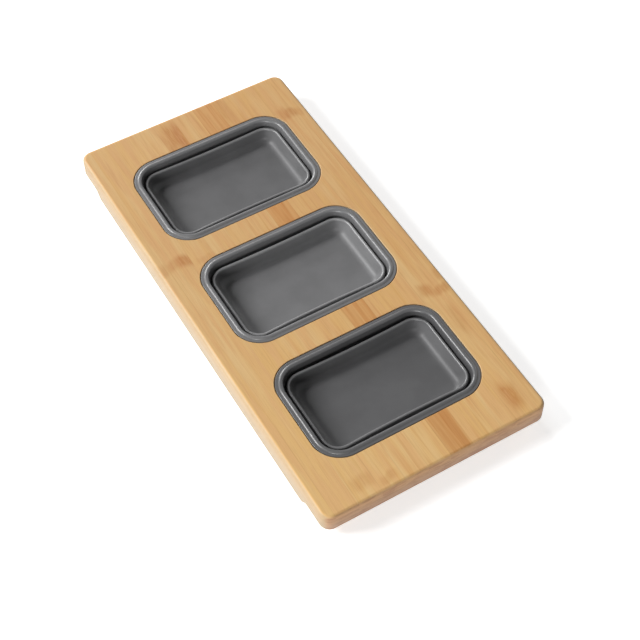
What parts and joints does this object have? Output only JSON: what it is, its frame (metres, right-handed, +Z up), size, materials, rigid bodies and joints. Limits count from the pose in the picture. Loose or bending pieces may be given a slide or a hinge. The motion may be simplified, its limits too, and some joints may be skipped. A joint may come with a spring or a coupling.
{
  "type": "over-sink cutting board",
  "caption": "Laminated bamboo cutting board that bridges a sink on its rebated ends and carries collapsible grey food trays in recessed windows.",
  "frame": {"origin": "middle of the board's underside, the bottom centre of the part's box", "axes": "+X across the board, +Y along it, +Z up out of the cutting surface"},
  "size_m": [0.2046, 0.432, 0.027],
  "materials": {
    "bamboo": "oiled, fine grain along Y",
    "bamboo_dark": "oiled carbonised bamboo, grain along Y",
    "tray_plastic": "fine matte",
    "tray_wall": "soft matte"
  },
  "bodies": {
    "board": {"bottom_ply": "bamboo", "core_ply": "bamboo", "top_strip_01": "bamboo", "top_strip_02": "bamboo", "top_strip_03": "bamboo", "top_strip_04": "bamboo", "top_strip_05": "bamboo", "top_strip_06": "bamboo", "top_strip_07": "bamboo_dark", "top_strip_08": "bamboo", "top_strip_09": "bamboo", "top_strip_10": "bamboo", "top_strip_11": "bamboo"},
    "tray_1": {"tray_1_rim_frame": "tray_plastic", "tray_1_folding_wall": "tray_wall"},
    "tray_1_base": {"tray_1_base_tub": "tray_plastic"},
    "tray_2": {"tray_2_rim_frame": "tray_plastic", "tray_2_folding_wall": "tray_wall"},
    "tray_2_base": {"tray_2_base_tub": "tray_plastic"},
    "tray_3": {"tray_3_rim_frame": "tray_plastic", "tray_3_folding_wall": "tray_wall"},
    "tray_3_base": {"tray_3_base_tub": "tray_plastic"}
  },
  "joints": [
    {"name": "tray_1_lift", "type": "slide", "parent": "board", "child": "tray_1", "axis": [0, 0, 1], "range_m": [0, 0.045]},
    {"name": "tray_1_expand", "type": "slide", "parent": "tray_1", "child": "tray_1_base", "axis": [0, 0, -1], "range_m": [0, 0.028], "deforming": ["tray_1_folding_wall"]},
    {"name": "tray_2_lift", "type": "slide", "parent": "board", "child": "tray_2", "axis": [0, 0, 1], "range_m": [0, 0.045]},
    {"name": "tray_2_expand", "type": "slide", "parent": "tray_2", "child": "tray_2_base", "axis": [0, 0, -1], "range_m": [0, 0.028], "deforming": ["tray_2_folding_wall"]},
    {"name": "tray_3_lift", "type": "slide", "parent": "board", "child": "tray_3", "axis": [0, 0, 1], "range_m": [0, 0.045]},
    {"name": "tray_3_expand", "type": "slide", "parent": "tray_3", "child": "tray_3_base", "axis": [0, 0, -1], "range_m": [0, 0.028], "deforming": ["tray_3_folding_wall"]}
  ]
}
